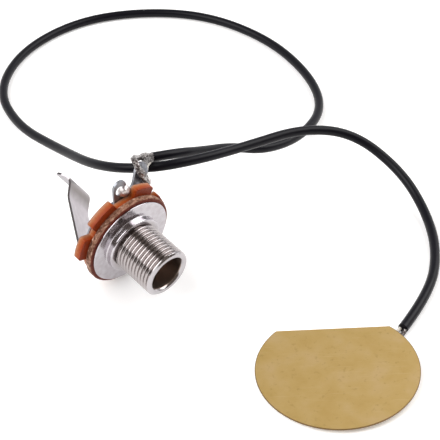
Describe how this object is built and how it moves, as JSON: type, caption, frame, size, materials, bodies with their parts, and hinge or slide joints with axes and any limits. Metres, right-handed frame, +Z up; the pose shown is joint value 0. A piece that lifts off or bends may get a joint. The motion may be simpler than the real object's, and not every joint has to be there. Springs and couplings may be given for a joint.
{
  "type": "piezo guitar pickup",
  "caption": "Contact pickup for an acoustic guitar: a brass piezo disc on a thin black cable, wired to a threaded open-frame jack for an instrument plug.",
  "frame": {"origin": "centre of the bottom of the box round the jack and the disc, on the surface they lie on", "axes": "+Z up from the surface; +X from the jack's side to the disc's side; -Y towards the front of the jack"},
  "size_m": [0.0851, 0.1264, 0.0215],
  "materials": {
    "nickel_plate": "plated, bright",
    "washer_board": "brown varnished board with a pale cut edge",
    "varnished_board": "red-brown varnish, glossy",
    "tube_board": "rolled board, matt",
    "tinned_brass": "tinned sheet, dull bright",
    "solder": "solder, bright",
    "cable_black": "soft black sheath, satin",
    "braid": "tinned copper braid",
    "core_plastic": "milky core insulation",
    "copper": "bare copper",
    "disc_brass": "rolled brass, satin with fine scratches",
    "ceramic": "fired ceramic, matt",
    "silver_coat": "silver coat, satin"
  },
  "bodies": {
    "root": {"jack_bushing": "nickel_plate", "front_washer": "washer_board", "lobed_washer": "varnished_board", "insulating_tube": "tube_board", "tip_contact": "tinned_brass", "rear_washer": "washer_board", "sleeve_lug": "tinned_brass", "sleeve_solder": "solder", "tip_solder": "solder", "cable_jacket": "cable_black", "jack_end_shield": "braid", "jack_end_core_insulation": "core_plastic", "jack_end_conductor": "copper", "disc_end_shield": "braid", "disc_end_core_insulation": "core_plastic", "disc_end_conductor": "copper", "brass_disc": "disc_brass", "piezo_ceramic": "ceramic", "silver_electrode": "silver_coat", "disc_ground_solder": "solder", "disc_signal_solder": "solder"}
  },
  "joints": []
}
